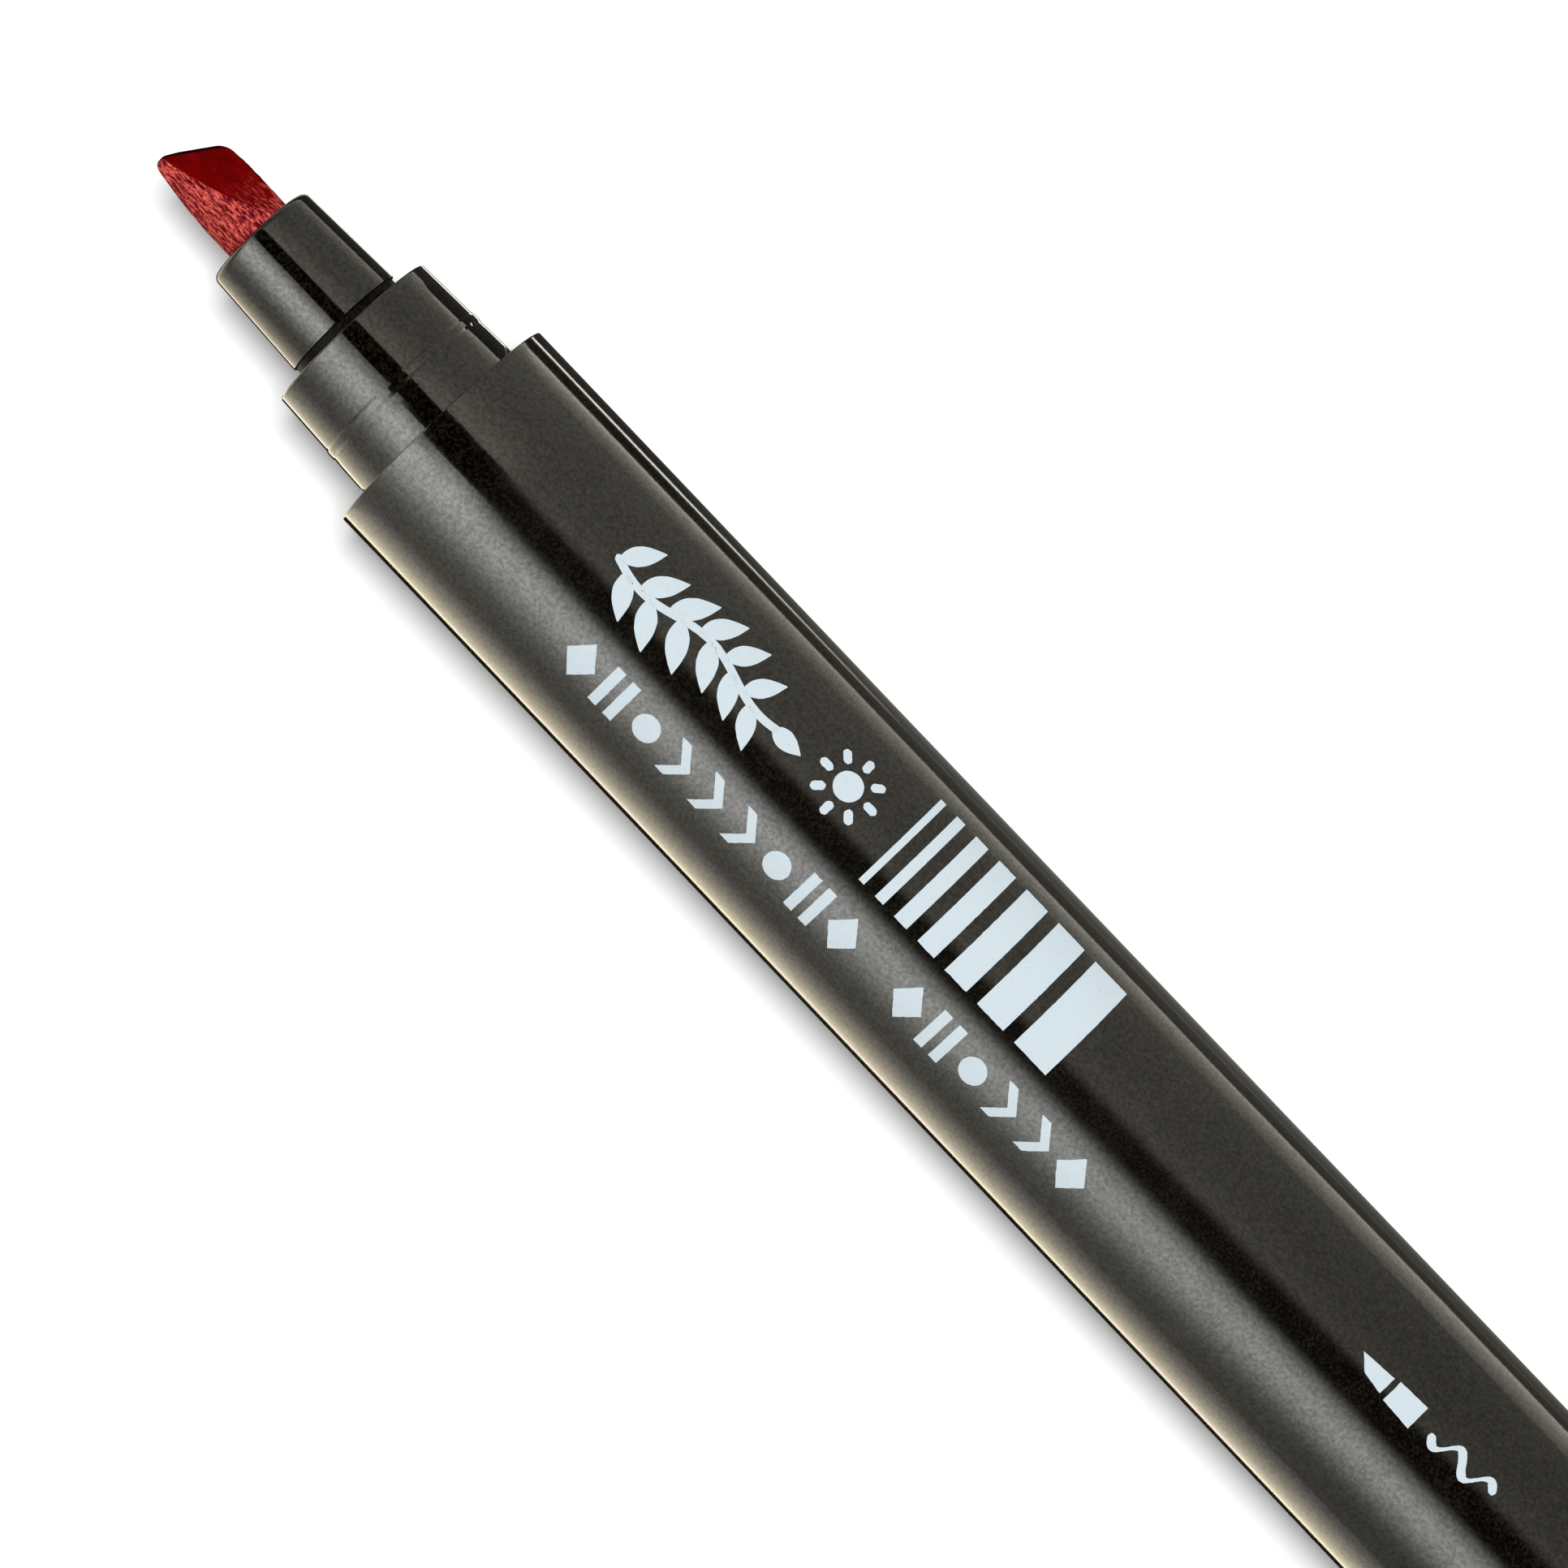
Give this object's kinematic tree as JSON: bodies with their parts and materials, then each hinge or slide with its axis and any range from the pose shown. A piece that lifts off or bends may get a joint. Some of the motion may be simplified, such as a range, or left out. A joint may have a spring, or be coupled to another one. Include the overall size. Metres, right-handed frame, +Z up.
{
  "type": "felt tip marker",
  "caption": "Round-barrelled felt tip marker with a slanted chisel nib in a stepped nose, and a clipped cap posted on its tail.",
  "frame": {"origin": "on the barrel's axis, at the front shoulder of the barrel where the cap's mouth stops", "axes": "+X along the marker's axis towards the nib, +Z up with the marker lying on its side"},
  "size_m": [0.1585, 0.018, 0.0164],
  "materials": {
    "barrel_plastic": "satin black moulded plastic",
    "nose_plastic": "semi-gloss black moulded plastic",
    "inked_felt": "bonded felt soaked with red ink",
    "inked_fibre": "bundled fibre soaked with red ink",
    "clear_film": "thin clear plastic film",
    "red_plastic": "gloss red moulded plastic",
    "natural_plastic": "uncoloured waxy plastic"
  },
  "bodies": {
    "marker": {"barrel": "barrel_plastic", "collar": "nose_plastic", "nib_holder": "nose_plastic", "nib": "inked_felt", "reservoir_core": "inked_fibre", "reservoir_film": "clear_film", "tail_plug": "red_plastic"},
    "cap": {"cap_shell": "red_plastic", "cap_liner": "natural_plastic"},
    "clip": {"cap_clip": "red_plastic"}
  },
  "joints": [
    {"name": "cap_pull", "type": "slide", "parent": "marker", "child": "cap", "axis": [-1, 0, 0], "range_m": [0, 0.016]},
    {"name": "clip_flex", "type": "hinge", "parent": "cap", "child": "clip", "pos_m": [-0.13165, -0.00674, -0.0051], "axis": [0, 0.6034, -0.7975], "range_deg": [0, 4], "stiffness_Nm_per_rad": 1.4}
  ]
}
